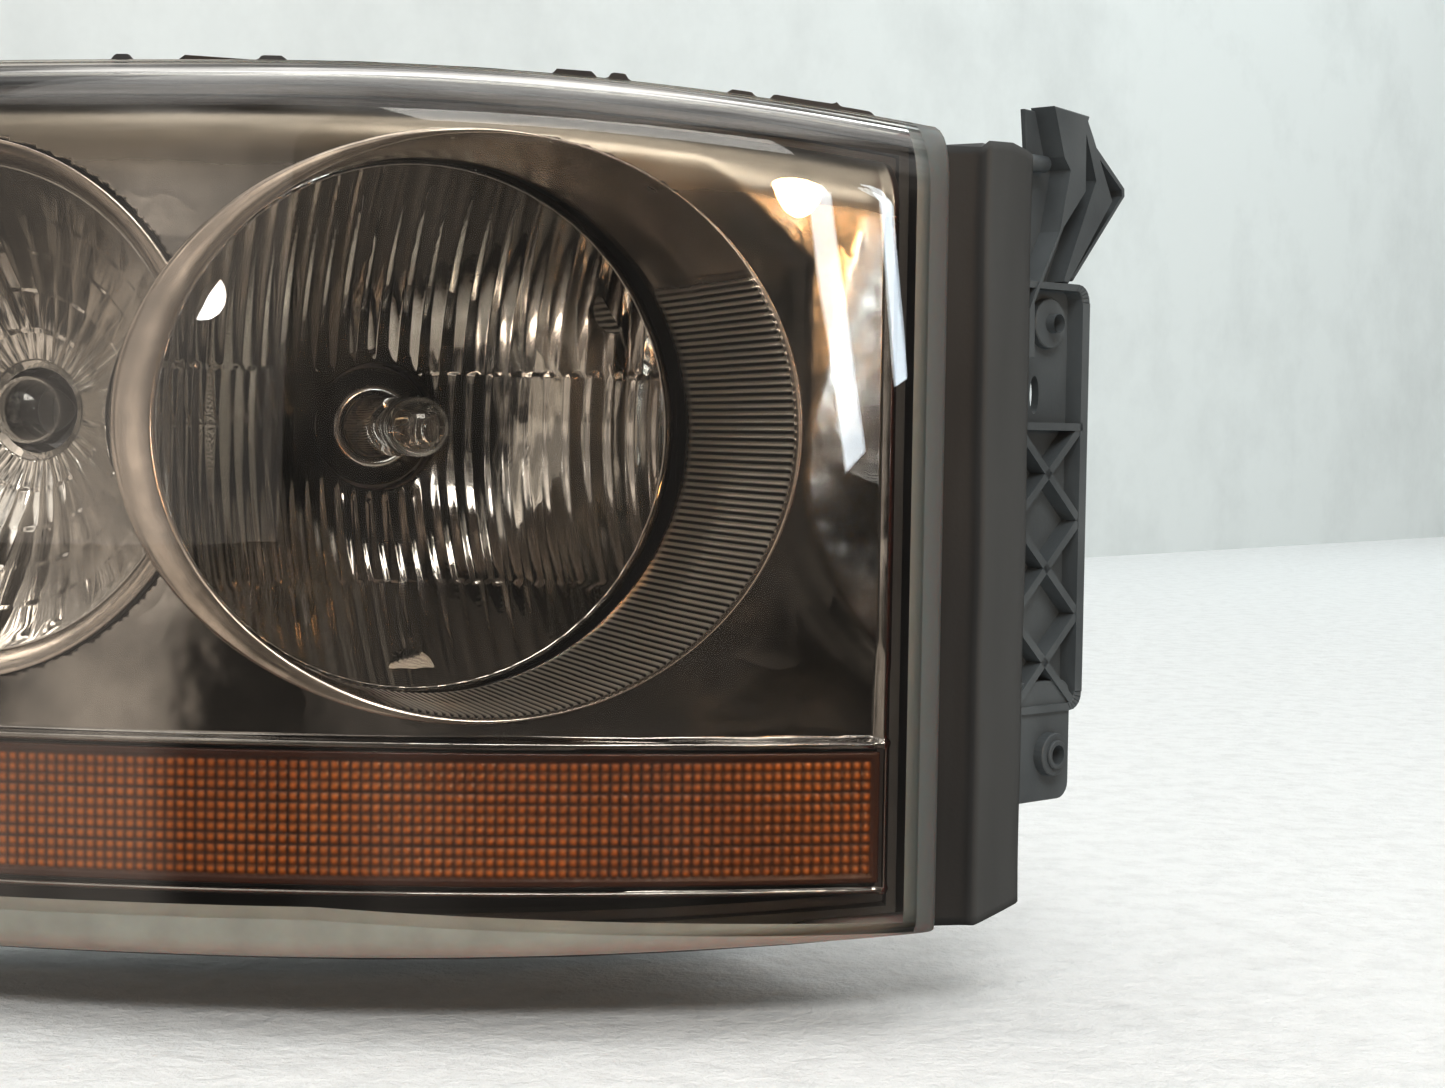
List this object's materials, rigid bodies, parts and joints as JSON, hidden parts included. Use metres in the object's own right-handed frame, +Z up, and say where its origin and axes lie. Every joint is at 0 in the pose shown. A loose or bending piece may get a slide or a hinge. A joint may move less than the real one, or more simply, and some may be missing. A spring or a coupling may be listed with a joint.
{
  "type": "car headlight assembly",
  "caption": "Swept-back truck headlamp: clear lens over a round main bowl in a trim ring, an outboard bowl and an amber strip, in a black housing with side seal and bracket.",
  "frame": {"origin": "underside of the top mounting flange, midway between its two bolt holes", "axes": "+X inboard, +Y to the vehicle's rear, +Z up; the main beam runs along -Y, 100 mm below the origin"},
  "size_m": [0.4263, 0.2301, 0.262],
  "materials": {
    "clear_lens": "clear polycarbonate, hazed and scratched",
    "smoked_chrome": "smoked metallised plastic",
    "bright_reflector": "vacuum-metallised",
    "amber_plastic": "translucent amber, pillow optics",
    "black_plastic": "moulded, dusty",
    "black_rubber": "matt",
    "grey_sealant": "butyl",
    "white_nylon": "natural nylon",
    "zinc_steel": "zinc plated",
    "bulb_glass": "clear quartz glass",
    "grey_plastic": "moulded",
    "tinned_brass": "stamped"
  },
  "bodies": {
    "housing": {"housing": "black_plastic", "outer_lens": "clear_lens", "lens_sealant": "grey_sealant", "bezel": "smoked_chrome", "trim_ring": "smoked_chrome", "amber_insert": "amber_plastic", "amber_tray": "smoked_chrome", "outboard_reflector": "bright_reflector", "side_seal": "black_rubber", "inboard_bracket": "black_plastic", "bracket_screw_1": "zinc_steel", "bracket_screw_2": "zinc_steel", "bracket_screw_3": "zinc_steel", "vent_cap_1": "black_rubber", "vent_cap_2": "black_rubber", "adjuster_case": "grey_plastic", "adjuster_cover": "grey_plastic", "inner_pivot_stud": "zinc_steel", "outer_pivot_stud": "zinc_steel", "rubber_boot": "black_rubber"},
    "reflector": {"main_reflector": "bright_reflector", "inner_ball_socket": "white_nylon", "outer_ball_socket": "white_nylon", "adjuster_ball_socket": "white_nylon"},
    "main_bulb": {"main_bulb_base": "black_plastic", "main_bulb_glass": "bulb_glass", "bulb_seal_ring": "black_rubber", "bulb_filaments": "zinc_steel", "bulb_terminal_1": "tinned_brass", "bulb_terminal_2": "tinned_brass", "bulb_terminal_3": "tinned_brass"},
    "turn_lamp": {"turn_socket": "grey_plastic", "turn_gasket": "black_rubber", "turn_bulb": "bulb_glass"},
    "marker_lamp": {"marker_socket": "grey_plastic", "marker_gasket": "black_rubber", "marker_bulb": "bulb_glass"},
    "adjuster_stud": {"adjuster_stud": "zinc_steel"},
    "adjuster_gear": {"adjuster_gear": "white_nylon"}
  },
  "joints": [
    {"name": "aim_pitch", "type": "hinge", "parent": "housing", "child": "reflector", "pos_m": [0, -0.018, -0.065], "axis": [1, 0, 0], "range_deg": [-2.5, 2.5], "deforming": ["rubber_boot"]},
    {"name": "aim_screw_travel", "type": "slide", "parent": "housing", "child": "adjuster_stud", "axis": [0, 1, 0], "range_m": [-0.0048, 0.0048]},
    {"name": "aim_gear_turn", "type": "hinge", "parent": "housing", "child": "adjuster_gear", "pos_m": [0, 0.0418, -0.17], "axis": [0, 1, 0], "range_deg": [-600, 600]},
    {"name": "main_bulb_twist", "type": "hinge", "parent": "reflector", "child": "main_bulb", "pos_m": [0, 0.0227, -0.1], "axis": [0, 1, 0], "range_deg": [0, 45]},
    {"name": "turn_socket_twist", "type": "hinge", "parent": "housing", "child": "turn_lamp", "pos_m": [-0.05942, 0.05278, -0.097], "axis": [0.5655, 0.8248, 0], "range_deg": [0, 45]},
    {"name": "marker_socket_twist", "type": "hinge", "parent": "housing", "child": "marker_lamp", "pos_m": [-0.15, 0.066, -0.202], "axis": [0, 1, 0], "range_deg": [0, 45]}
  ],
  "couplings": [
    {"joint": "aim_screw_travel", "follows": "aim_pitch", "m_per_rad": 0.105},
    {"joint": "aim_gear_turn", "follows": "aim_pitch", "ratio": 219.91}
  ]
}
